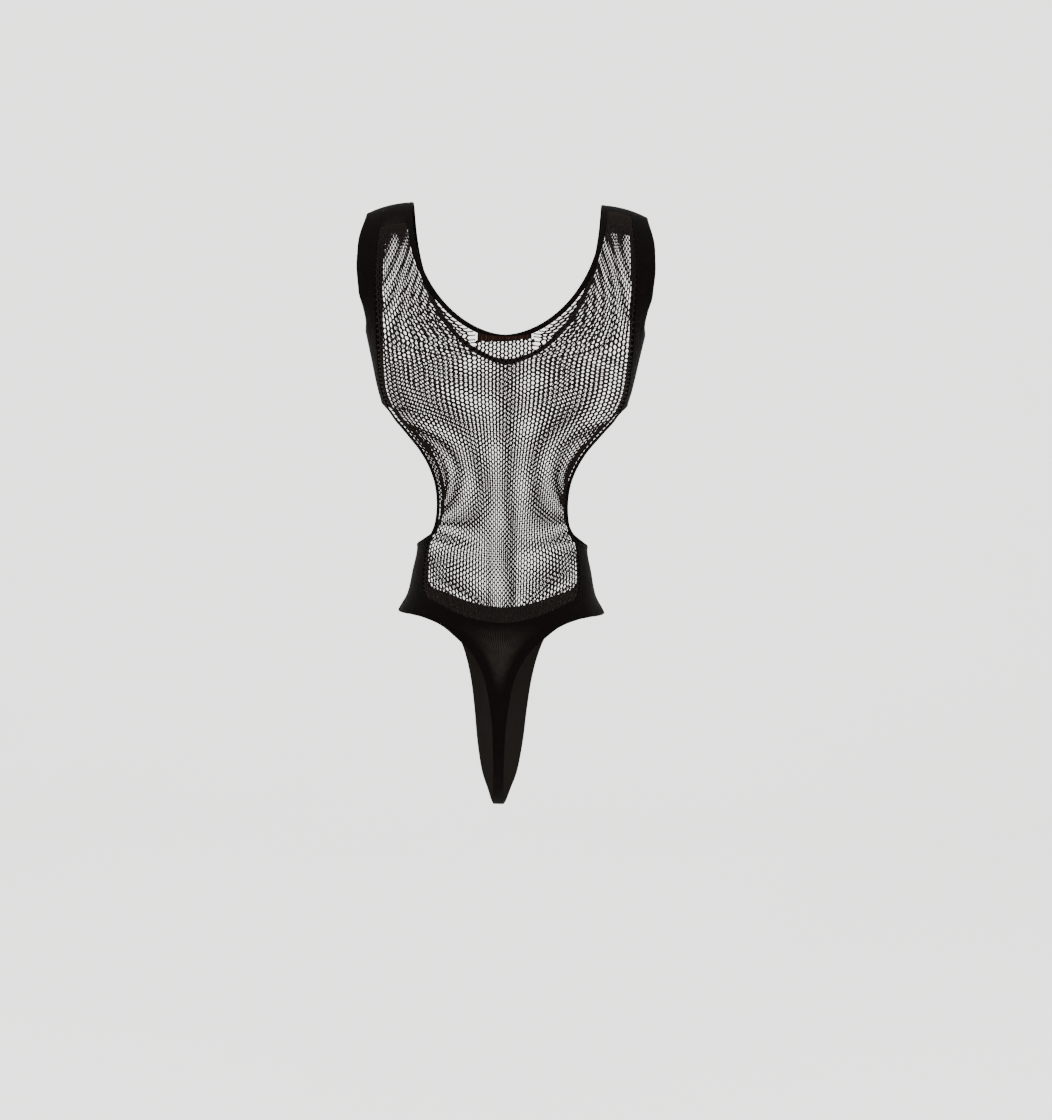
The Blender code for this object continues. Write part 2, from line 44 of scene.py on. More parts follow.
# +Y is the back, +X the wearer's left; "down" is the height below the shoulder line
cloth = {"wall": 0.0012, "rim": 0.00042, "rimSegments": 2, "rimAngle": 50, "threadLift": 0.0007,
         "weld": 0.00001, "sheenRoughness": 0.5}
back, front, left, right = 1, -1, 1, -1


def table(columns, *rows):  # rows of numbers under the columns' names
    return [dict(zip(columns.split(), row)) for row in rows]


# half width and depths of the worn shape, as in the solids
wornShape = table(
    "down half back front",
    (0.000, 0.1880, 0.074, 0.070), (0.060, 0.1850, 0.084, 0.078), (0.095, 0.1750, 0.091, 0.088),
    (0.115, 0.1630, 0.093, 0.094), (0.135, 0.1530, 0.094, 0.100), (0.160, 0.1468, 0.095, 0.106),
    (0.200, 0.1380, 0.094, 0.112), (0.230, 0.1290, 0.091, 0.111), (0.300, 0.1110, 0.081, 0.096),
    (0.340, 0.1000, 0.076, 0.088), (0.372, 0.0925, 0.075, 0.085), (0.400, 0.0972, 0.079, 0.085),
    (0.425, 0.1025, 0.084, 0.087), (0.440, 0.1105, 0.087, 0.089), (0.455, 0.1185, 0.088, 0.090))
worn = {"power": 2.4, "roll": 0.090, "hip": 0.455, "crotch": 0.657, "lowArc": 0.240,
        "slopeStart": 0.095, "slopeEnd": 0.154, "slopeFall": 0.014, "slopePower": 2.2, "slopeFade": 0.120}
bodyMiddle = Vector((0, 0, -0.3))
probe = {"turn": 1.0, "step": 0.001}  # degrees round and metres down, to find which way the cloth faces


def mix(a, b, share):
    return a + (b - a) * share


def clamp(value, low=0.0, high=1.0):
    return min(max(value, low), high)


def ease(value):  # 0 to 1 with soft ends
    value = clamp(value)
    return value * value * (3 - 2 * value)


def smooth(rows, key, column, at):  # a soft curve through the rows of a table
    keys = [row[key] for row in rows]
    values = [row[column] for row in rows]
    if at <= keys[0]:
        return values[0]
    if at >= keys[-1]:
        return values[-1]
    i = 0
    while keys[i + 1] < at:
        i += 1
    slopes = []
    for k in (i, i + 1):
        low, high = max(k - 1, 0), min(k + 1, len(keys) - 1)
        slopes.append((values[high] - values[low]) / (keys[high] - keys[low]))
    span = keys[i + 1] - keys[i]
    t = (at - keys[i]) / span
    return (values[i] * (1 + 2 * t) * (1 - t) ** 2 + slopes[0] * span * t * (1 - t) ** 2
            + values[i + 1] * t * t * (3 - 2 * t) + slopes[1] * span * t * t * (t - 1))


def levelOf(down):  # length along the cloth from the shoulder line
    if down < worn["roll"]:
        return worn["roll"] * math.acos(1 - max(down, 0) / worn["roll"])
    level = worn["roll"] * math.pi / 2 + min(down, worn["hip"]) - worn["roll"]
    if down > worn["hip"]:
        sweep = math.asin(min((down - worn["hip"]) / (worn["crotch"] - worn["hip"]), 1))
        level += worn["lowArc"] * sweep / (math.pi / 2)
    return level


def downOf(level):
    rollEnd = worn["roll"] * math.pi / 2
    if level < rollEnd:
        return worn["roll"] * (1 - math.cos(level / worn["roll"]))
    down = level - rollEnd + worn["roll"]
    if down > worn["hip"]:
        sweep = min((down - worn["hip"]) / worn["lowArc"], 1) * math.pi / 2
        down = worn["hip"] + (worn["crotch"] - worn["hip"]) * math.sin(sweep)
    return down


def partWay(start, end, share):  # a height part of the way along the cloth
    return downOf(mix(levelOf(start), levelOf(end), share))


profileStep = 0.0005
profile = []  # the worn shape, read once at small steps
for i in range(int(worn["crotch"] / profileStep) + 3):
    profile.append([smooth(wornShape, "down", column, i * profileStep)
                    for column in ("half", "back", "front")])


def profileAt(down):
    at = clamp(down / profileStep, 0, len(profile) - 2)
    low = int(at)
    return [mix(a, b, at - low) for a, b in zip(profile[low], profile[low + 1])]


def onBody(x, down, side):  # the inner face of the cloth at x and that height
    half, behind, before = profileAt(down)
    depth = behind if side == back else before
    oval = (1 - min(abs(x) / half, 1) ** worn["power"]) ** (1 / worn["power"])
    if down > worn["hip"]:
        drop = (down - worn["hip"]) / (worn["crotch"] - worn["hip"])
        reach = math.sqrt(max(1 - drop * drop, 0))
        return Vector((x, side * depth * oval * reach, -worn["hip"] - (down - worn["hip"]) * oval))
    reach = math.sqrt(1 - max(1 - down / worn["roll"], 0) ** 2)
    slope = max(abs(x) - worn["slopeStart"], 0) / (worn["slopeEnd"] - worn["slopeStart"])
    fall = worn["slopeFall"] * slope ** worn["slopePower"] * max(1 - down / worn["slopeFade"], 0)
    return Vector((x, side * depth * oval * reach, -down - fall))


def halfAt(angle, down):
    return profileAt(down)[0] * math.sin(math.radians(angle)) ** (2 / worn["power"])


def angleAt(x, down):
    return math.degrees(math.asin(min(abs(x) / profileAt(down)[0], 1) ** (worn["power"] / 2)))


def roundBody(angle, down, hand):  # 0 is the middle of the back, 90 the side, 180 the front
    side = back if angle <= 90 else front
    spot = onBody(halfAt(angle if angle <= 90 else 180 - angle, down), down, side)
    return Vector((spot.x * hand, spot.y, spot.z))


def outwardAt(x, down, side):  # which way the worn shape faces there
    hand = left if x >= 0 else right
    angle, level = angleAt(x, down), levelOf(down)
    angle = angle if side == back else 180 - angle
    turn, step = probe["turn"], probe["step"]
    across = roundBody(min(angle + turn, 180), down, hand) - roundBody(max(angle - turn, 0), down, hand)
    downward = (roundBody(angle, downOf(level + step), hand)
                - roundBody(angle, downOf(max(level - step, 0)), hand))
    facing = across.cross(downward).normalized()
    return facing if facing.dot(onBody(x, down, side) - bodyMiddle) > 0 else -facing


# camera: 2.4 m behind the worn garment, a little above, tilted by 0.9 degrees as the photo is
shot = {"target": Vector((-0.0262, 0.0, -0.38709)), "distance": 2.4, "above": 4.0,
        "roll": 0.9, "focal": 2181.6, "frameWidth": 1052, "sensor": 36.0}


def makeCamera():
    data = bpy.data.cameras.new("shotCamera")
    data.sensor_fit = "HORIZONTAL"
    data.sensor_width = shot["sensor"]
    data.lens = shot["focal"] * shot["sensor"] / shot["frameWidth"]
    camera = bpy.data.objects.new("shotCamera", data)
    bpy.context.scene.collection.objects.link(camera)
    tilt = math.radians(shot["above"])
    away = Vector((0, math.cos(tilt), math.sin(tilt)))
    camera.location = shot["target"] + away * shot["distance"]
    turn = (-away).to_track_quat("-Z", "Y").to_matrix().to_4x4()
    camera.matrix_world = (Matrix.Translation(camera.location) @ turn
                           @ Matrix.Rotation(math.radians(shot["roll"]), 4, "Z"))
    bpy.context.scene.camera = camera


makeCamera()
print("camera placed")


# neckline, tab, armholes, cut-outs and seams: the lines that the pieces share
neck = {"half": 0.1022, "back": 0.1438, "front": 0.1650, "widthPower": 1.8, "depthPower": 2.15,
        "binding": 0.005, "bindingAtTab": 0.002}
tab = {"half": 0.0285, "bottom": 0.1500, "slant": 0.0018}
armhole = table(
    "away down",
    (39.5, 0.0000), (38.7, 0.0080), (35.3, 0.0300), (33.7, 0.0560), (29.8, 0.0910),
    (19.6, 0.1250), (10.0, 0.1370), (0.0, 0.1415))
armSeam = table(
    "down half",
    (0.000, 0.1325), (0.031, 0.1355), (0.074, 0.1387), (0.105, 0.1382), (0.158, 0.1365),
    (0.187, 0.1343), (0.206, 0.1311))
shoulderReach = {(back, left): 0.027, (back, right): 0.010, (front, left): 0.024, (front, right): 0.024}
cutout = table(
    "away down",
    (0.0, 0.2165), (10.0, 0.2185), (19.6, 0.2246), (26.9, 0.2353), (33.2, 0.2438),
    (40.7, 0.2565), (46.3, 0.2681), (51.2, 0.2850), (53.4, 0.3040), (52.0, 0.3250),
    (47.5, 0.3440), (40.5, 0.3565), (32.4, 0.3634), (16.0, 0.3690), (0.0, 0.3705))
cutoutSeams = {"top": 2.0, "low": 11.75, "binding": 0.003, "metresPerDegree": 0.0015, "slopeStep": 0.1}
hipSeam = table(
    "down half",
    (0.3752, 0.0811), (0.3903, 0.0830), (0.4062, 0.0836), (0.4160, 0.0828), (0.4250, 0.0785))
backYoke = table(
    "half edge centre power",
    (0.0785, 0.4250, 0.4480, 1.25), (0.0860, 0.4350, 0.4530, 1.50), (0.0960, 0.4440, 0.4600, 2.30),
    (0.0821, 0.4460, 0.4670, 2.00), (0.0643, 0.4522, 0.4760, 2.00), (0.0424, 0.4696, 0.4890, 2.00),
    (0.0293, 0.4828, 0.4995, 2.00), (0.0228, 0.4934, 0.5075, 2.00), (0.0179, 0.5041, 0.5160, 2.00),
    (0.0138, 0.5182, 0.5270, 2.00), (0.0100, 0.5401, 0.5465, 2.00), (0.0073, 0.5646, 0.5690, 2.00),
    (0.0060, 0.5990, 0.6010, 2.00), (0.0058, 0.6330, 0.6330, 2.00), (0.0060, 0.6570, 0.6570, 2.00))
frontBrief = table(
    "half edge centre power",
    (0.0785, 0.4250, 0.4480, 1.25), (0.0860, 0.4350, 0.4530, 1.50), (0.0960, 0.4440, 0.4610, 2.30),
    (0.0830, 0.4470, 0.4700, 2.00), (0.0680, 0.4570, 0.4810, 2.00), (0.0540, 0.4740, 0.4970, 2.00),
    (0.0430, 0.4980, 0.5180, 2.00), (0.0350, 0.5290, 0.5440, 2.00), (0.0300, 0.5630, 0.5730, 2.00),
    (0.0260, 0.5980, 0.6030, 2.00), (0.0200, 0.6290, 0.6310, 2.00), (0.0120, 0.6480, 0.6490, 2.00),
    (0.0060, 0.6570, 0.6570, 2.00))
netBottom = 0.448
bellyPower = 1.25
legCorner = 2  # the row of the two lower tables where the side seam ends and the leg opening starts
heightColumns = ("down", "edge", "centre")  # these are read by their length along the cloth


def along(lines, column, position):  # a table's value at a place counted in rows
    heights = column in heightColumns
    rows = [{"at": i, "value": levelOf(row[column]) if heights else row[column]}
            for i, row in enumerate(lines)]
    value = smooth(rows, "at", "value", position)
    return downOf(value) if heights else value


def lowerAt(lines, column, position):  # the curve turns at the leg corner
    if position <= legCorner:
        return along(lines[:legCorner + 1], column, position)
    return along(lines[legCorner:], column, position - legCorner)


def neckPoint(turn, side, grow):  # turn 0 is the shoulder and 90 the middle
    depth = neck["back"] if side == back else neck["front"]
    angle = math.radians(turn)
    across = max(math.cos(angle), 0) ** (2 / neck["widthPower"])
    return (neck["half"] + grow) * across, (depth + grow) * math.sin(angle) ** (2 / neck["depthPower"])


def neckTurnAtDown(down, side, grow):
    depth = neck["back"] if side == back else neck["front"]
    return math.degrees(math.asin((down / (depth + grow)) ** (neck["depthPower"] / 2)))


def neckTurnAtX(x, grow):
    return math.degrees(math.acos((x / (neck["half"] + grow)) ** (neck["widthPower"] / 2)))


def neckBottom(x, side):  # the neck binding's lower edge between the tab's ends
    down = neckPoint(neckTurnAtX(abs(x), neck["binding"]), side, neck["binding"])[1]
    if side == back:
        down -= (neck["binding"] - neck["bindingAtTab"]) * (1 - (x / tab["half"]) ** 2)
    return down


def tabBottom(x, side):
    if side == back:
        return tab["bottom"] + tab["slant"] * x / tab["half"]
    return tab["bottom"] + neck["front"] - neck["back"]


def cutoutEdge(position, grow):  # (degrees round, down) of the cut-out, moved out by grow
    scale = cutoutSeams["metresPerDegree"]
    spots = []
    for at in (position, position - cutoutSeams["slopeStep"], position + cutoutSeams["slopeStep"]):
        spots.append((along(cutout, "away", at) * scale, along(cutout, "down", at)))
    (away, down), before, after = spots
    across, fall = after[0] - before[0], after[1] - before[1]
    if position <= 0 or position >= len(cutout) - 1:
        fall = 0
    length = math.hypot(across, fall)
    return 90 - (away + grow * fall / length) / scale, down - grow * across / length


def cutoutPoint(position):
    angle, down = cutoutEdge(position, cutoutSeams["binding"])
    return halfAt(angle, down), down


cutoutTop = cutoutPoint(cutoutSeams["top"])
cutoutLow = cutoutPoint(cutoutSeams["low"])
armSeamWhole = armSeam + [{"down": cutoutTop[1], "half": cutoutTop[0]}]
hipSeamWhole = [{"down": cutoutLow[1], "half": cutoutLow[0]}] + hipSeam


def armSeamHalf(down):
    return smooth(armSeamWhole, "down", "half", down)


# the net's side line, from the shoulder past the cut-out to the leg: half width by height
sideSteps = {"armStep": 0.002, "cutout": 60, "hip": 24}
sideLine = []
for i in range(int(cutoutTop[1] / sideSteps["armStep"])):
    sideLine.append({"down": i * sideSteps["armStep"], "half": armSeamHalf(i * sideSteps["armStep"])})
for i in range(sideSteps["cutout"] + 1):
    spotHalf, spotDown = cutoutPoint(mix(cutoutSeams["top"], cutoutSeams["low"], i / sideSteps["cutout"]))
    sideLine.append({"down": spotDown, "half": spotHalf})
for i in range(1, sideSteps["hip"] + 1):
    spotDown = mix(cutoutLow[1], hipSeam[-1]["down"], i / sideSteps["hip"])
    sideLine.append({"down": spotDown, "half": smooth(hipSeamWhole, "down", "half", spotDown)})


def sideHalf(down):
    i = 1
    while i < len(sideLine) - 1 and sideLine[i]["down"] < down:
        i += 1
    low, high = sideLine[i - 1], sideLine[i]
    return mix(low["half"], high["half"], clamp((down - low["down"]) / (high["down"] - low["down"])))


print("lines worked out")


# shader groups: each is built once and placed in the materials with its own values
def newGroup(name, inputs, outputs):
    tree = bpy.data.node_groups.new(name, "ShaderNodeTree")
    for label, kind, value in inputs:
        socket = tree.interface.new_socket(label, in_out="INPUT", socket_type=kind)
        if value is not None:
            socket.default_value = value
    for label, kind in outputs:
        tree.interface.new_socket(label, in_out="OUTPUT", socket_type=kind)
    return tree, tree.nodes.new("NodeGroupInput"), tree.nodes.new("NodeGroupOutput")


def mathNode(tree, operation, first, second=None):
    node = tree.nodes.new("ShaderNodeMath")
    node.operation = operation
    for socket, value in zip(node.inputs, (first, second)):
        if value is None:
            continue
        if isinstance(value, (int, float)):
            socket.default_value = value
        else:
            tree.links.new(value, socket)
    return node.outputs[0]


def noiseNode(tree, vector, scale, detail=2.0):
    node = tree.nodes.new("ShaderNodeTexNoise")
    node.inputs["Scale"].default_value = scale
    node.inputs["Detail"].default_value = detail
    tree.links.new(vector, node.inputs["Vector"])
    return node.outputs["Fac"]


def colourMix(tree, share, first, second):
    node = tree.nodes.new("ShaderNodeMix")
    node.data_type = "RGBA"
    tree.links.new(share, node.inputs["Factor"])
    for socket, value in ((node.inputs["A"], first), (node.inputs["B"], second)):
        if isinstance(value, tuple):
            socket.default_value = (*value, 1)
        else:
            tree.links.new(value, socket)
    return node.outputs["Result"]


stitchShape = {"swing": 0.18, "level": 0.82, "gapPower": 1.5}


def makeKnitGroup():  # upright ribs of small V stitches, in metres on the cloth's own UV map
    tree, start, end = newGroup(
        "knitRibs",
        [("Vector", "NodeSocketVector", None), ("Ribs", "NodeSocketFloat", 900.0),
         ("Courses", "NodeSocketFloat", 1100.0)],
        [("Height", "NodeSocketFloat"), ("Gap", "NodeSocketFloat")])
    split = tree.nodes.new("ShaderNodeSeparateXYZ")
    tree.links.new(start.outputs["Vector"], split.inputs[0])
    across = mathNode(tree, "MULTIPLY", split.outputs["X"], start.outputs["Ribs"])
    inRib = mathNode(tree, "ABSOLUTE", mathNode(tree, "SUBTRACT", mathNode(tree, "FRACT", across), 0.5))
    rib = mathNode(tree, "SUBTRACT", 1.0, mathNode(tree, "MULTIPLY", inRib, 2.0))
    rounded = mathNode(tree, "SQRT", mathNode(tree, "MAXIMUM", rib, 0.0))
    upward = mathNode(tree, "MULTIPLY", split.outputs["Y"], start.outputs["Courses"])
    slanted = mathNode(tree, "ADD", upward, inRib)
    wave = mathNode(tree, "SINE", mathNode(tree, "MULTIPLY", slanted, 2 * math.pi))
    swing = mathNode(tree, "MULTIPLY", wave, stitchShape["swing"])
    stitch = mathNode(tree, "ADD", swing, stitchShape["level"])
    height = mathNode(tree, "MULTIPLY", rounded, stitch)
    tree.links.new(height, end.inputs["Height"])
    gap = mathNode(tree, "POWER", mathNode(tree, "SUBTRACT", 1.0, rounded), stitchShape["gapPower"])
    tree.links.new(gap, end.inputs["Gap"])
    return tree


yarnShape = {"lean": 0.6, "strand": 0.35, "fuzz": 2600.0, "tone": 38.0}


def makeYarnGroup():  # the fine twist of a yarn, with a little fuzz
    tree, start, end = newGroup(
        "yarnTwist",
        [("Vector", "NodeSocketVector", None), ("Twists", "NodeSocketFloat", 1400.0)],
        [("Height", "NodeSocketFloat"), ("Tone", "NodeSocketFloat")])
    split = tree.nodes.new("ShaderNodeSeparateXYZ")
    tree.links.new(start.outputs["Vector"], split.inputs[0])
    leaning = mathNode(tree, "MULTIPLY", split.outputs["X"], yarnShape["lean"])
    diagonal = mathNode(tree, "ADD", split.outputs["Z"], leaning)
    turns = mathNode(tree, "MULTIPLY", diagonal, start.outputs["Twists"])
    strand = mathNode(tree, "SINE", mathNode(tree, "MULTIPLY", turns, 2 * math.pi))
    fuzz = noiseNode(tree, start.outputs["Vector"], yarnShape["fuzz"], detail=3.0)
    height = mathNode(tree, "ADD", mathNode(tree, "MULTIPLY", strand, yarnShape["strand"]), fuzz)
    tree.links.new(height, end.inputs["Height"])
    tree.links.new(noiseNode(tree, start.outputs["Vector"], yarnShape["tone"]), end.inputs["Tone"])
    return tree


knitRibs = makeKnitGroup()
yarnTwist = makeYarnGroup()


def startMaterial(name, look):
    material = bpy.data.materials.new(name)
    material.use_nodes = True
    tree = material.node_tree
    shader = tree.nodes["Principled BSDF"]
    shader.inputs["Roughness"].default_value = look["roughness"]
    shader.inputs["Specular IOR Level"].default_value = look["specular"]
    shader.inputs["Sheen Weight"].default_value = look["sheen"]
    shader.inputs["Sheen Roughness"].default_value = cloth["sheenRoughness"]
    shader.inputs["Sheen Tint"].default_value = (*look["sheenTint"], 1)
    return material, tree, shader


def addBump(tree, shader, height, strength, distance):
    bump = tree.nodes.new("ShaderNodeBump")
    bump.inputs["Strength"].default_value = strength
    bump.inputs["Distance"].default_value = distance
    tree.links.new(height, bump.inputs["Height"])
    tree.links.new(bump.outputs["Normal"], shader.inputs["Normal"])


def placeGroup(tree, group, vector, **values):
    node = tree.nodes.new("ShaderNodeGroup")
    node.node_tree = group
    tree.links.new(vector, node.inputs["Vector"])
    for label, value in values.items():
        node.inputs[label].default_value = value
    return node


def yarnMaterial(name, look):
    material, tree, shader = startMaterial(name, look)
    place = tree.nodes.new("ShaderNodeTexCoord").outputs["Object"]
    twist = placeGroup(tree, yarnTwist, place, Twists=look["twists"])
    colour = colourMix(tree, twist.outputs["Tone"], look["dark"], look["warm"])
    tree.links.new(colour, shader.inputs["Base Color"])
    addBump(tree, shader, twist.outputs["Height"], look["bump"], look["bumpDepth"])
    return material


def knitMaterial(name, look):
    material, tree, shader = startMaterial(name, look)
    uv = tree.nodes.new("ShaderNodeUVMap")
    uv.uv_map = "clothUv"
    ribs = placeGroup(tree, knitRibs, uv.outputs["UV"], Ribs=look["ribs"], Courses=look["courses"])
    thin = tree.nodes.new("ShaderNodeAttribute")
    thin.attribute_name = "sheer"
    patchy = noiseNode(tree, uv.outputs["UV"], look["patch"], detail=3.0)
    streaks = placeGroup(tree, knitRibs, uv.outputs["UV"],
                         Ribs=look["streaks"], Courses=look["streakCourses"])
    gaps = mathNode(tree, "MULTIPLY", streaks.outputs["Gap"], patchy)
    # painted light coming through the thin knit: where the sheer mask is, the streaks' gaps mix in a warm
    # tone
    tone = mathNode(tree, "MULTIPLY", thin.outputs["Fac"], gaps)
    tone = mathNode(tree, "MINIMUM", mathNode(tree, "MULTIPLY", tone, look["lightThroughGain"]), 1.0)
    base = colourMix(tree, patchy, look["dark"], look["warm"])
    tree.links.new(colourMix(tree, tone, base, look["lightThroughTone"]), shader.inputs["Base Color"])
    addBump(tree, shader, ribs.outputs["Height"], look["bump"], look["bumpDepth"])
    return material


waleYarnLook = {"dark": (0.0018, 0.0012, 0.0010), "warm": (0.0050, 0.0030, 0.0021), "roughness": 0.70,
                "specular": 0.05, "sheen": 0.012, "sheenTint": (0.55, 0.42, 0.34), "twists": 1300.0,
                "bump": 0.5, "bumpDepth": 0.00012}
barYarnLook = dict(waleYarnLook, dark=(0.0055, 0.0032, 0.0022), warm=(0.0140, 0.0080, 0.0052), twists=1900.0)
denseLook = {"dark": (0.0010, 0.0007, 0.0006), "warm": (0.0018, 0.0012, 0.0010), "roughness": 0.76,
             "specular": 0.02, "sheen": 0.004, "sheenTint": (0.50, 0.44, 0.40), "ribs": 900.0,
             "courses": 1100.0, "patch": 70.0, "streaks": 430.0, "streakCourses": 240.0,
             "lightThroughTone": (0.0150, 0.0125, 0.0105), "lightThroughGain": 5.0, "bump": 0.45, "bumpDepth": 0.00025}
# the brief's knit is painted a little greyer than the yoke's: painted light on its inner face, which sets it
# apart from the strap
briefLook = dict(denseLook, dark=(0.0056, 0.0046, 0.0040), warm=(0.0080, 0.0065, 0.0056))
bindingLook = dict(denseLook, ribs=1250.0, courses=1500.0, bump=0.5)
gatherLook = dict(denseLook, dark=(0.0028, 0.0014, 0.0010), warm=(0.0075, 0.0036, 0.0024), ribs=700.0,
                  streaks=420.0, lightThroughTone=(0.030, 0.0145, 0.0086), bump=0.55)

waleYarn = yarnMaterial("blackWaleYarn", waleYarnLook)
barYarn = yarnMaterial("fineBarYarn", barYarnLook)
denseKnit = knitMaterial("denseBlackKnit", denseLook)
briefKnit = knitMaterial("paintedLightBriefKnit", briefLook)
bindingKnit = knitMaterial("rolledBindingKnit", bindingLook)
gatheredKnit = knitMaterial("sheerGatheredKnit", gatherLook)
print("materials made")


def pickOnly(piece):
    bpy.ops.object.select_all(action="DESELECT")
    piece.select_set(True)
    bpy.context.view_layer.objects.active = piece


def applyAll(piece):
    pickOnly(piece)
    for modifier in [m.name for m in piece.modifiers]:
        bpy.ops.object.modifier_apply(modifier=modifier)


def edgeFade(share, rate):  # 0 at both edges, rising faster with a higher rate
    return ease(rate * share) * ease(rate - rate * share)


def dress(piece, node):  # what the piece rides on and which solid it replaces
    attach(piece, "root")
    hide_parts(node)
    return piece


def makeSheet(name, material, plan, place, sheer=None, ring=False):
    # a curved sheet from a flat grid: place(column share, row share) gives x, down, side and a lift
    bpy.ops.object.select_all(action="DESELECT")
    bpy.ops.mesh.primitive_grid_add(x_subdivisions=plan["columns"], y_subdivisions=plan["rows"],
                                    size=2, calc_uvs=True)
    piece = bpy.context.object
    piece.name = name
    mesh = piece.data
    mesh.name = name
    mesh.uv_layers[0].name = "clothUv"
    for spot in mesh.uv_layers[0].data:
        spot.uv = (spot.uv[0] * plan["uv"][0], spot.uv[1] * plan["uv"][1])
    thin = mesh.attributes.new("sheer", "FLOAT", "POINT")
    outer = mesh.attributes.new("outerFace", "FLOAT_VECTOR", "POINT")
    for i, vertex in enumerate(mesh.vertices):
        u, v = clamp((vertex.co.x + 1) / 2), clamp((vertex.co.y + 1) / 2)
        x, down, side, lift = place(u, v)
        facing = outwardAt(x, down, side)
        vertex.co = onBody(x, down, side) + facing * lift
        outer.data[i].vector = vertex.co + facing * cloth["wall"]
        thin.data[i].value = sheer(u, v) if sheer else 0.0
    pickOnly(piece)
    bpy.ops.object.mode_set(mode="EDIT")
    bpy.ops.mesh.select_all(action="SELECT")
    if ring:
        bpy.ops.mesh.remove_doubles(threshold=cloth["weld"])
    bpy.ops.object.mode_set(mode="OBJECT")
    outward = sum(face.normal.dot(face.center - bodyMiddle) for face in mesh.polygons)
    if outward < 0:
        bpy.ops.object.mode_set(mode="EDIT")
        bpy.ops.mesh.select_all(action="SELECT")
        bpy.ops.mesh.flip_normals()
        bpy.ops.object.mode_set(mode="OBJECT")
    thick = piece.modifiers.new("cloth", "SOLIDIFY")
    thick.thickness = cloth["wall"]
    thick.offset = 1
    applyAll(piece)
    for i in range(len(mesh.vertices) // 2):  # the first half is the outer face, moved straight out
        mesh.vertices[i].co = mesh.attributes["outerFace"].data[i].vector
    mesh.attributes.remove(mesh.attributes["outerFace"])
    rim = piece.modifiers.new("rolledRim", "BEVEL")
    rim.width = cloth["rim"]
    rim.segments = cloth["rimSegments"]
    rim.limit_method = "ANGLE"
    rim.angle_limit = math.radians(cloth["rimAngle"])
    applyAll(piece)
    bpy.ops.object.shade_smooth()
    mesh.materials.append(material)
    return piece


def makeThreads(name, material, threads):
    # threads is a list of lines, each a list of (point, radius); all become one mesh of four-sided yarns
    data = bpy.data.curves.new(name, "CURVE")
    data.dimensions = "3D"
    data.bevel_depth = 1.0
    data.bevel_resolution = 0
    data.use_fill_caps = True
    for line in threads:
        spline = data.splines.new("POLY")
        spline.points.add(len(line) - 1)
        spline.points.foreach_set("co", [c for point, _ in line for c in (*point, 1.0)])
        spline.points.foreach_set("radius", [radius for _, radius in line])
    piece = bpy.data.objects.new(name, data)
    bpy.context.scene.collection.objects.link(piece)
    pickOnly(piece)
    bpy.ops.object.convert(target="MESH")
    piece = bpy.context.object
    bpy.ops.object.mode_set(mode="EDIT")
    bpy.ops.mesh.select_all(action="SELECT")
    bpy.ops.mesh.remove_doubles(threshold=cloth["weld"])
    bpy.ops.object.mode_set(mode="OBJECT")
    piece.data.materials.clear()
    piece.data.materials.append(material)
    bpy.ops.object.shade_smooth()
    return piece


# the net: wales are zigzag yarns that run down, bars join them, and each column is half a row off the next
net = {
    "tabColumns": 7, "sideColumns": 21, "cornerRows": 2, "zigzag": 1 / 6, "neckSteps": 80,
    "strapRows": {(back, left): 22, (back, right): 25, (front, left): 22, (front, right): 22},
    "bodyRows": {back: 59, front: 55}, "rowGrowth": 0.12, "strapGrowth": 0.15,
    "waleBase": 0.00028, "waleShare": 0.215, "waleThick": 0.00130, "knot": 1.14, "slim": 0.90,
    "barShare": 0.56, "frontSlim": 0.60, "denseRows": 4.0, "denseExtra": 0.60, "ends": 0.1,
    "rimColumns": 5.0, "rimExtra": 0.34, "rimStart": 0.25, "rimEnd": 0.70, "rimFade": 0.10,
    "hipColumns": 2.6, "hipExtra": 0.60, "hipStart": 0.76, "hipFade": 0.08, "tabKnot": 0.45, "bend": 0.25,
    "fan": 0.0062, "fanRows": 3.2, "joinRows": 8.0, "sideCurve": 1.8,
}
# how much lower a row hangs in the middle than at the side, by the share of the way down the body
rowHang = {
    back: table("share hang", (0.00, -0.014), (0.24, -0.009), (0.39, 0.0), (0.75, 0.012), (1.00, 0.023)),
    front: table("share hang", (0.00, -0.004), (0.39, 0.0), (0.75, 0.012), (1.00, 0.023)),
}
# half width of the columns that the tab gathers, by height
gatheredHalf = table(
    "down half",
    (0.150, 0.0285), (0.175, 0.0284), (0.213, 0.0272), (0.245, 0.0238), (0.277, 0.0204),
    (0.310, 0.0178), (0.343, 0.0162), (0.380, 0.0156), (0.448, 0.0152))
# pitch beside the tab's columns and at the side, as shares of the even pitch
crowding = table(
    "down inner outer",
    (0.030, 1.00, 1.00), (0.115, 1.25, 0.85), (0.150, 1.05, 0.88), (0.210, 0.95, 0.85),
    (0.300, 1.20, 0.62), (0.360, 0.90, 0.70), (0.420, 0.74, 0.72))


def neckLineTable(side, top):  # the neck seam from the tab's corner up to a shoulder, by length
    corner = neckTurnAtX(tab["half"], neck["binding"])
    start = neckTurnAtDown(top, side, neck["binding"])
    rows, length, last = [], 0.0, None
    for i in range(net["neckSteps"] + 1):
        x, down = neckPoint(mix(corner, start, i / net["neckSteps"]), side, neck["binding"])
        spot = Vector((x, levelOf(down), 0))
        length += (spot - last).length if last else 0.0
        last = spot
        rows.append({"length": length, "x": x, "down": down})
    return rows


neckLines = {key: neckLineTable(key[0], top) for key, top in shoulderReach.items()}


def readLine(rows, share):
    at = share * rows[-1]["length"]
    i = 1
    while i < len(rows) - 1 and rows[i]["length"] < at:
        i += 1
    low, high = rows[i - 1], rows[i]
    t = (at - low["length"]) / (high["length"] - low["length"])
    return mix(low["x"], high["x"], t), mix(low["down"], high["down"], t)


def taller(share, growth):  # rows get taller along the way
    return share * (1 + growth * (share - 1))


def spread(share, inner, outer):
    return (inner * share * (1 - share) ** 2 + share * share * (3 - 2 * share)
            + outer * share * share * (share - 1))


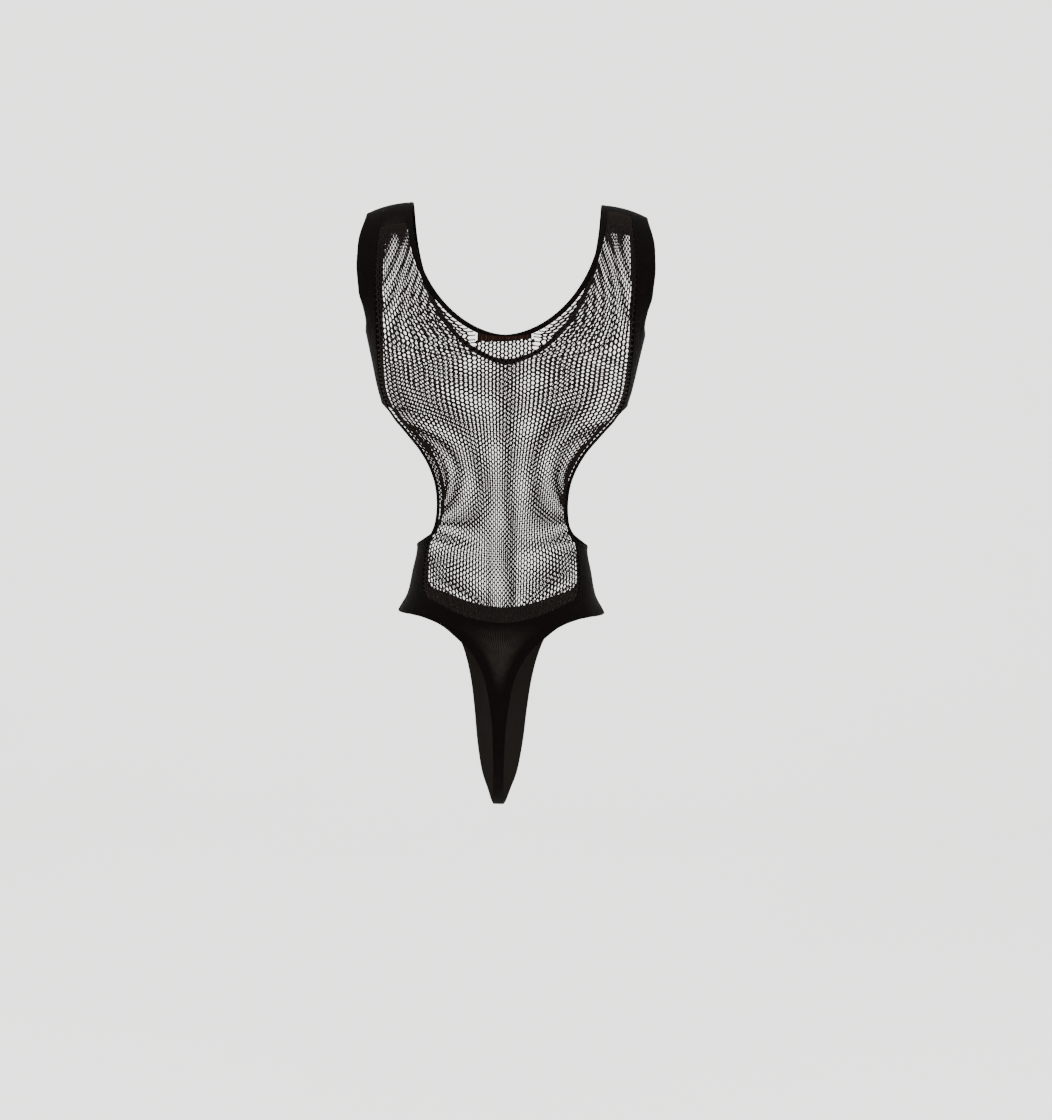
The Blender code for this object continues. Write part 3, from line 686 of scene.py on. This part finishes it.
def netSpot(side, column, row):  # (x, down) of a place in the net, counted in columns and rows
    hand = left if column >= 0 else right
    away = abs(column)
    share = (away - net["tabColumns"]) / net["sideColumns"]
    netTop = tabBottom(0, side)
    if row >= 0:
        part = taller(row / net["bodyRows"][side], net["rowGrowth"])
        middleDown = mix(netTop, netBottom, part)
        sideDown = middleDown - smooth(rowHang[side], "share", "hang", row / net["bodyRows"][side])
        innerX = smooth(gatheredHalf, "down", "half", middleDown)
        innerDown = middleDown
    else:
        strap = net["strapRows"][(side, hand)]
        part = taller(-row / strap, net["strapGrowth"])
        start = netTop - rowHang[side][0]["hang"]
        sideDown = downOf(max(mix(levelOf(start), levelOf(shoulderReach[(side, hand)]), part), 0.0))
        corner = net["cornerRows"]
        if row > -corner:
            innerX = tab["half"]
            cornerDown = neckLines[(side, hand)][0]["down"]
            innerDown = mix(tabBottom(hand * tab["half"], side), cornerDown, -row / corner)
        else:
            upward = taller((-row - corner) / (strap - corner), net["strapGrowth"])
            innerX, innerDown = readLine(neckLines[(side, hand)], upward)
        middleDown = innerDown
    outerX = sideHalf(sideDown)
    if share < 0 and row < 0 and side == front:
        x = innerX * away / net["tabColumns"]
        return hand * x, mix(netTop, neckBottom(x, side), -row / net["cornerRows"])
    crowd = [smooth(crowding, "down", edge, sideDown) for edge in ("inner", "outer")]
    if share < 0:
        x = innerX * away / net["tabColumns"] if row >= 0 else innerX + share * (outerX - innerX)
    else:
        x = mix(innerX, outerX, spread(share, *crowd)) if share <= 1 else mix(innerX, outerX, share)
        if side == back and share <= 1:
            pull = math.exp(-((row + 1) / net["fanRows"]) ** 2)
            x += net["fan"] * pull * min(away - net["tabColumns"], 1) * (1 - share)
    ruled = sideDown + (innerDown - sideDown) * clamp(1 - share) ** net["sideCurve"]
    if row <= 0:
        down = ruled
        if side == back and share < 0 and row > -net["cornerRows"]:
            down = mix(tabBottom(hand * x, side), neckBottom(x, side), clamp(-row / net["cornerRows"]))
    else:
        hang = max(1 - (x / outerX) ** 2, 0) ** bellyPower
        hanging = mix(sideDown, middleDown, hang)
        slanted = tabBottom(hand * x, side) - netTop if share < 0 else 0.0
        down = mix(ruled + slanted, hanging, ease(row / net["joinRows"]))
    return hand * x, down


def netPoint(side, column, row):
    x, down = netSpot(side, column, row)
    return onBody(x, down, side) + outwardAt(x, down, side) * cloth["threadLift"]


def netPitch(side, column, row):
    a, b = netSpot(side, column - 0.5, row), netSpot(side, column + 0.5, row)
    return math.hypot(a[0] - b[0], a[1] - b[1])


def topRow(side, column):
    hand = left if column >= 0 else right
    if abs(column) >= net["tabColumns"] + 0.5:
        return -net["strapRows"][(side, hand)]
    return 0 if side == back else -net["cornerRows"]


def waleRadius(side, column, row):  # thicker at the dense shoulders, the cut-outs and the left hip band
    radius = min(net["waleBase"] + net["waleShare"] * netPitch(side, column, row), net["waleThick"])
    away = abs(column)
    edge = net["tabColumns"] + net["sideColumns"]
    part = row / net["bodyRows"][side]
    if away > net["tabColumns"]:
        above = row - topRow(side, column)
        radius *= 1 + net["denseExtra"] * (1 - ease(above / net["denseRows"]))
    beside = 1 - ease((edge - away) / net["rimColumns"])
    beside *= ease((part - net["rimStart"]) / net["rimFade"]) * ease((net["rimEnd"] - part) / net["rimFade"])
    radius *= 1 + net["rimExtra"] * beside
    if side == front:
        radius *= net["frontSlim"]
    elif away == net["tabColumns"]:
        radius *= 1 + net["tabKnot"] * (1 - ease(abs(row)))
    elif column > 0:
        beside = 1 - ease((edge - away) / net["hipColumns"])
        radius *= 1 + net["hipExtra"] * beside * ease((part - net["hipStart"]) / net["hipFade"])
    return radius


def makeNet(side, node):
    columns = net["tabColumns"] + net["sideColumns"]
    bottom = net["bodyRows"][side]
    wales = []
    for column in range(-columns + 1, columns):
        lead = (column % 2) / 2
        row = topRow(side, column)
        first = row - net["ends"]
        bend = math.ceil((row - lead) / net["bend"]) * net["bend"] + lead
        rows = [first]
        while bend < bottom + net["ends"]:
            if bend > first + net["ends"] / 2:
                rows.append(bend)
            bend += net["bend"]
        rows.append(bottom + net["ends"])
        line = []
        for at in rows:  # a knot where the bars meet, and a slimmer yarn between two knots
            phase = (at - lead) * 2
            near = abs(phase - round(phase)) * 2
            swing = (1 - near) * (1 if round(phase) % 2 == 0 else -1)
            radius = waleRadius(side, column, at) * mix(net["knot"], net["slim"], near)
            line.append((netPoint(side, column + net["zigzag"] * swing, at), radius))
        wales.append(line)
    bars = []
    for column in range(-columns, columns):
        lead = (column % 2) / 2
        top = max(topRow(side, column), topRow(side, column + 1))
        if abs(column + 0.5) > net["tabColumns"]:
            top = min(topRow(side, column), topRow(side, column + 1))
        row = math.ceil(top - lead) + lead
        while row < bottom:
            radius = waleRadius(side, column + 0.5, row) * net["barShare"]
            bars.append([(netPoint(side, column + net["zigzag"], row), radius),
                         (netPoint(side, column + 1 - net["zigzag"], row), radius)])
            row += 1
    print(node, "wales", len(wales), "bars", len(bars))
    return (dress(makeThreads(node + "_wales", waleYarn, wales), node),
            dress(makeThreads(node + "_bars", barYarn, bars), node))


backWales, backBars = makeNet(back, "back_net")
frontWales, frontBars = makeNet(front, "front_net")
print("nets made")


# dense knit pieces
armBandPlan = {"columns": 168, "rows": 10, "fall": 0.4, "uv": (0.52, 0.030), "foldDown": 0.158,
               "shoulderSteps": 4, "bandSteps": 19, "seamSteps": 24, "tailSteps": 3}


def armSeamAt(step, top):  # the band's inner line: over the shoulder, down to the fold and to the cut-out
    start, fold, end = (armBandPlan[key] for key in ("shoulderSteps", "bandSteps", "seamSteps"))
    if step <= start:
        down = partWay(0, top, step / start)
    elif step <= fold:
        down = partWay(top, armBandPlan["foldDown"], (step - start) / (fold - start))
    elif step <= end:
        down = partWay(armBandPlan["foldDown"], cutoutTop[1], (step - fold) / (end - fold))
    else:
        return cutoutPoint(mix(cutoutSeams["top"], 0, (step - end) / armBandPlan["tailSteps"]))
    return armSeamHalf(down), down


def makeArmBand(hand, node):
    halfRing = armBandPlan["seamSteps"] + armBandPlan["tailSteps"]

    def place(u, v):
        around = u * 2 * halfRing
        behind = around <= halfRing
        step = around if behind else 2 * halfRing - around
        x, seamDown = armSeamAt(step, shoulderReach[(back if behind else front, hand)])
        armAngle = 90 - along(armhole, "away", step / halfRing * (len(armhole) - 1))
        armDown = along(armhole, "down", step / halfRing * (len(armhole) - 1))
        angle = mix(armAngle, angleAt(x, seamDown), v)
        down = downOf(mix(levelOf(armDown), levelOf(seamDown), v ** armBandPlan["fall"]))
        return hand * halfAt(angle, down), down, back if behind else front, 0.0

    return dress(makeSheet(node + "_knit", denseKnit, armBandPlan, place, ring=True), node)


shoulderPlan = {"columns": 24, "rows": 36, "uv": (0.030, 0.130), "steps": 4,
                "sheer": 0.25, "sheerRows": 6, "sheerSides": 4}


def makeShoulder(hand, node):
    def place(u, v):
        step = (1 - 2 * v) * shoulderPlan["steps"]
        side = back if step >= 0 else front
        down = partWay(0, shoulderReach[(side, hand)], abs(step) / shoulderPlan["steps"])
        neckX = neckPoint(neckTurnAtDown(down, side, neck["binding"]), side, neck["binding"])[0]
        return hand * mix(neckX, armSeamHalf(down), u), down, side, 0.0

    # painted light coming through the thin knit at the back of the shoulder
    def sheer(u, v):
        behind = ease(1 - v * shoulderPlan["sheerRows"])
        return shoulderPlan["sheer"] * behind * edgeFade(u, shoulderPlan["sheerSides"])

    return dress(makeSheet(node + "_knit", denseKnit, shoulderPlan, place, sheer), node)


hipPlan = {"columns": 60, "rows": 36, "uv": (0.110, 0.080), "seamRows": 5, "lowRows": 4}


def seamBelow(lines, step):  # the hip band's seam with the net and then with the lower piece
    if step <= hipPlan["seamRows"]:
        down = partWay(cutoutLow[1], hipSeam[-1]["down"], step / hipPlan["seamRows"])
        return smooth(hipSeamWhole, "down", "half", down), down
    position = (step - hipPlan["seamRows"]) / 2
    return lowerAt(lines, "half", position), lowerAt(lines, "edge", position)


def makeHipBand(hand, node):
    seamRows = hipPlan["seamRows"] + hipPlan["lowRows"]
    startAngle, startDown = cutoutEdge(cutoutSeams["low"], cutoutSeams["binding"])
    legTop = backYoke[legCorner]["edge"]

    def place(u, v):
        behind = u <= 0.5
        fromSeam = 2 * u if behind else 2 - 2 * u
        seamX, seamDown = seamBelow(backYoke if behind else frontBrief, v * seamRows)
        position = mix(cutoutSeams["low"], len(cutout) - 1, fromSeam)
        topAngle, topDown = cutoutEdge(position, cutoutSeams["binding"])
        spreadOut = mix((topAngle - startAngle) / (90 - startAngle), fromSeam, v)
        angle = mix(angleAt(seamX, seamDown), 90, spreadOut)
        down = mix(topDown, legTop, (seamDown - startDown) / (legTop - startDown))
        return hand * halfAt(angle, down), down, back if behind else front, 0.0

    return dress(makeSheet(node + "_knit", denseKnit, hipPlan, place), node)


lowerPlan = {"columns": 96, "rows": 110, "uv": (0.170, 0.260),
             "nick": 0.0009, "nickDown": 0.4900, "nickLength": 0.0014}
# where the cloth is stretched thin, with painted light coming through it: from, to and strongest at these
# shares of its height, and how wide
yokeSheer = {"from": 0.01, "to": 0.66, "middle": 0.34, "wide": 0.50}
briefSheer = {"from": 0.05, "to": 0.55, "middle": 0.30, "wide": 0.40}


def makeLowerPiece(side, lines, thin, material, node):
    last = len(lines) - 1

    def place(u, v):
        share = abs(2 * u - 1)
        half, edge, centre, power = (lowerAt(lines, key, v * last) for key in lines[0])
        if side == back and u <= 0.5:  # the small nick in the right leg edge
            away = (edge - lowerPlan["nickDown"]) / lowerPlan["nickLength"]
            half += lowerPlan["nick"] * math.exp(-away ** 2)
        x = (left if u > 0.5 else right) * share * half
        return x, mix(edge, centre, max(1 - share * share, 0) ** power), side, 0.0

    # painted light coming through the stretched middle of the piece
    def sheer(u, v):
        height = (ease((v - thin["from"]) / (thin["middle"] - thin["from"]))
                  * ease((thin["to"] - v) / (thin["to"] - thin["middle"])))
        return height * ease(1 - abs(2 * u - 1) / thin["wide"])

    return dress(makeSheet(node + "_knit", material, lowerPlan, place, sheer), node)


leftArm = makeArmBand(left, "left_arm_band")
rightArm = makeArmBand(right, "right_arm_band")
leftShoulder = makeShoulder(left, "left_shoulder")
rightShoulder = makeShoulder(right, "right_shoulder")
leftHip = makeHipBand(left, "left_hip_band")
rightHip = makeHipBand(right, "right_hip_band")
yoke = makeLowerPiece(back, backYoke, yokeSheer, denseKnit, "back_yoke_and_strap")
brief = makeLowerPiece(front, frontBrief, briefSheer, briefKnit, "front_brief")
print("dense pieces made")


# bindings and the gathered tab
neckPlan = {"columns": 520, "rows": 6, "uv": (0.80, 0.005), "crown": 0.0005, "over": 0.07}
rimPlan = {"columns": 260, "rows": 6, "uv": (0.52, 0.003), "crown": 0.0005, "over": 0.14, "lower": 0.6}


def bulge(plan, v):
    return plan["crown"] * math.sin(math.pi * clamp(v))


def makeNeckBinding():
    corner = neckTurnAtX(0.0, neck["binding"])

    def place(u, v):
        v = mix(-neckPlan["over"], 1 + neckPlan["over"], v)
        quarter = (u * 4) % 4  # left behind, right behind, right in front, left in front
        side = back if quarter < 2 else front
        within = quarter if side == back else quarter - 2
        first = left if side == back else right
        hand = first if within < 1 else -first
        turn = corner * (within if within < 1 else 2 - within)
        x, down = neckPoint(turn, side, neck["binding"] * v)
        if side == back and x < tab["half"]:
            inner = neckPoint(neckTurnAtX(x, 0.0), side, 0.0)[1]
            down = mix(inner, neckBottom(x, side), v)
        return hand * x, max(down, 0.0), side, bulge(neckPlan, v)

    piece = makeSheet("neck_binding_knit", bindingKnit, neckPlan, place, ring=True)
    return dress(piece, "neck_binding")


def makeCutoutBinding(hand, node):
    last = len(cutout) - 1

    def place(u, v):
        v = mix(-rimPlan["over"], 1 + rimPlan["over"], v)
        behind = u <= 0.5
        position = clamp(2 * u if behind else 2 - 2 * u) * last
        angle, down = cutoutEdge(position, cutoutSeams["binding"] * v)
        lift = bulge(rimPlan, v) * rimPlan["lower"]
        return hand * halfAt(angle, down), down, back if behind else front, lift

    return dress(makeSheet(node + "_knit", bindingKnit, rimPlan, place, ring=True), node)


tabPlan = {"columns": 280, "rows": 14, "uv": (0.057, 0.010), "gathers": 16, "fineGathers": 41,
           "lift": 0.0010, "fine": 0.0003, "wander": 0.8, "wanderAcross": 9, "wanderDown": 3, "fineSlant": 4,
           "pinchStart": 0.2, "pinchSpan": 0.75, "scallops": 14, "scallop": 0.0005,
           "hem": 0.0006, "hemStart": 0.82, "hemFade": 0.1,
           "sheerSides": 9, "sheerTop": 4, "sheerEnd": 0.76, "sheerLow": 0.4}


def tabWaves(u, v):  # the gathers, and a finer ripple between them
    wander = tabPlan["wander"] * math.sin(tabPlan["wanderDown"] * v + tabPlan["wanderAcross"] * u)
    main = 0.5 - 0.5 * math.cos(2 * math.pi * tabPlan["gathers"] * u + wander)
    fine = 0.5 + 0.5 * math.sin(2 * math.pi * tabPlan["fineGathers"] * u + tabPlan["fineSlant"] * v)
    return main, fine


def makeTab():
    def place(u, v):
        x = mix(-tab["half"], tab["half"], u)
        scallop = tabPlan["scallop"] * math.cos(2 * math.pi * tabPlan["scallops"] * u)
        down = mix(neckBottom(x, back), tabBottom(x, back) + scallop, v)
        pinch = math.sin(math.pi * clamp(v * tabPlan["pinchSpan"] + tabPlan["pinchStart"]))
        main, fine = tabWaves(u, v)
        hem = tabPlan["hem"] * ease((v - tabPlan["hemStart"]) / tabPlan["hemFade"])
        return x, down, back, (tabPlan["lift"] * main + tabPlan["fine"] * fine) * pinch + hem

    # painted light coming through the thin knit, strongest on the gathers' crests
    def sheer(u, v):
        main, fine = tabWaves(u, v)
        inside = edgeFade(u, tabPlan["sheerSides"]) * ease(tabPlan["sheerTop"] * v)
        inside *= 1 - ease((v - tabPlan["sheerEnd"]) / tabPlan["hemFade"])
        return inside * main * mix(tabPlan["sheerLow"], 1, fine)

    piece = makeSheet("back_neck_tab_gathers", gatheredKnit, tabPlan, place, sheer)
    return dress(piece, "back_neck_tab")


neckPiece = makeNeckBinding()
leftCutout = makeCutoutBinding(left, "left_cutout_binding")
rightCutout = makeCutoutBinding(right, "right_cutout_binding")
tabPiece = makeTab()
print("bindings made")


# pale floor that curves up behind the garment, and soft studio light
studio = {"floor": -0.98, "near": 4.0, "far": -2.6, "side": 5.0, "cove": 1.1, "coveSegments": 24, "wall": 4.0,
          "sky": (1.0, 0.99, 0.98, 1), "world": 2.0}
floorLook = {"low": (0.925, 0.920, 0.915), "high": (0.945, 0.942, 0.94), "mottle": 3.0, "roughness": 0.9,
             "specular": 0.1, "sheen": 0.0, "sheenTint": (1, 1, 1)}
lamps = [
    {"name": "keySoftbox", "place": (1.9, 2.3, 1.3), "aim": (0, 0, -0.3), "size": 1.6, "power": 75,
     "colour": (1.0, 0.985, 0.965)},
    {"name": "fillSoftbox", "place": (-2.2, 2.0, 0.7), "aim": (0, 0, -0.3), "size": 1.8, "power": 48,
     "colour": (1.0, 0.99, 0.98)},
    {"name": "topSoftbox", "place": (0.0, 0.3, 2.6), "aim": (0, -0.3, -0.4), "size": 2.6, "power": 50,
     "colour": (1.0, 1.0, 1.0)},
]


def makeFloor():
    bpy.ops.object.select_all(action="DESELECT")
    middle = (studio["near"] + studio["far"]) / 2
    bpy.ops.mesh.primitive_plane_add(size=2, location=(0, middle, studio["floor"]))
    floor = bpy.context.object
    floor.name = "studioFloor"
    floor.scale = (studio["side"], (studio["near"] - studio["far"]) / 2, 1)
    bpy.ops.object.transform_apply(location=True, rotation=True, scale=True)
    bpy.ops.object.mode_set(mode="EDIT")
    bpy.ops.mesh.select_mode(type="EDGE")
    bpy.ops.mesh.select_all(action="DESELECT")
    bpy.ops.object.mode_set(mode="OBJECT")
    for edge in floor.data.edges:  # the far edge is pulled up into a wall
        edge.select = all(floor.data.vertices[i].co.y < middle for i in edge.vertices)
    bpy.ops.object.mode_set(mode="EDIT")
    bpy.ops.mesh.extrude_region_move(TRANSFORM_OT_translate={"value": (0, 0, studio["wall"])})
    bpy.ops.object.mode_set(mode="OBJECT")
    cove = floor.modifiers.new("cove", "BEVEL")
    cove.width = studio["cove"]
    cove.segments = studio["coveSegments"]
    cove.limit_method = "ANGLE"
    applyAll(floor)
    bpy.ops.object.shade_smooth()
    material, tree, shader = startMaterial("paleFloor", floorLook)
    place = tree.nodes.new("ShaderNodeTexCoord").outputs["Object"]
    tone = noiseNode(tree, place, floorLook["mottle"])
    tree.links.new(colourMix(tree, tone, floorLook["low"], floorLook["high"]), shader.inputs["Base Color"])
    floor.data.materials.append(material)


def addLamp(lamp):
    data = bpy.data.lights.new(lamp["name"], "AREA")
    data.shape = "RECTANGLE"
    data.size = data.size_y = lamp["size"]
    data.energy = lamp["power"]
    data.color = lamp["colour"]
    light = bpy.data.objects.new(lamp["name"], data)
    bpy.context.scene.collection.objects.link(light)
    light.location = lamp["place"]
    light.rotation_euler = (Vector(lamp["aim"]) - light.location).to_track_quat("-Z", "Y").to_euler()


def makeStudio():
    makeFloor()
    for lamp in lamps:
        addLamp(lamp)
    world = bpy.data.worlds.new("paleRoom")
    world.use_nodes = True
    sky = world.node_tree.nodes["Background"]
    sky.inputs["Color"].default_value = studio["sky"]
    sky.inputs["Strength"].default_value = studio["world"]
    bpy.context.scene.world = world


makeStudio()
print("studio made")

# each sheet's relaxed cut, before the wearer stretches it: its size, its own area where it isn't a
# rectangle, how it is held, what it is sewn to and what else is cut with it
shoulders = ["left_shoulder_knit", "right_shoulder_knit"]
hipBands = ["left_hip_band_knit", "right_hip_band_knit"]
nets = ["back_net_wales", "front_net_wales"]
cuts = [
    (backWales, (0.220, 0.410), 0.0560, "stretched", shoulders, [backBars]),
    (frontWales, (0.220, 0.400), 0.0500, "stretched", shoulders, [frontBars]),
    (leftArm, (0.026, 0.470), None, "stretched", ["left_shoulder_knit"], []),
    (rightArm, (0.026, 0.470), None, "stretched", ["right_shoulder_knit"], []),
    (leftShoulder, (0.025, 0.105), None, "stretched", ["left_arm_band_knit"], []),
    (rightShoulder, (0.024, 0.085), None, "stretched", ["right_arm_band_knit"], []),
    (leftHip, (0.100, 0.070), None, "stretched", ["back_yoke_and_strap_knit"], []),
    (rightHip, (0.100, 0.070), None, "stretched", ["back_yoke_and_strap_knit"], []),
    (yoke, (0.175, 0.235), 0.0125, "stretched", hipBands, []),
    (brief, (0.175, 0.235), 0.0160, "stretched", hipBands, []),
    (neckPiece, (0.010, 0.620), None, "stretched", shoulders, []),
    (leftCutout, (0.010, 0.360), None, "stretched", nets, []),
    (rightCutout, (0.010, 0.360), None, "stretched", nets, []),
    (tabPiece, (0.010, 0.060), None, "gathered", ["neck_binding_knit"], []),
]
for piece, flat, area, held, restsOn, extras in cuts:
    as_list(restsOn)
    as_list(extras)
print("sheets declared", len(cuts))
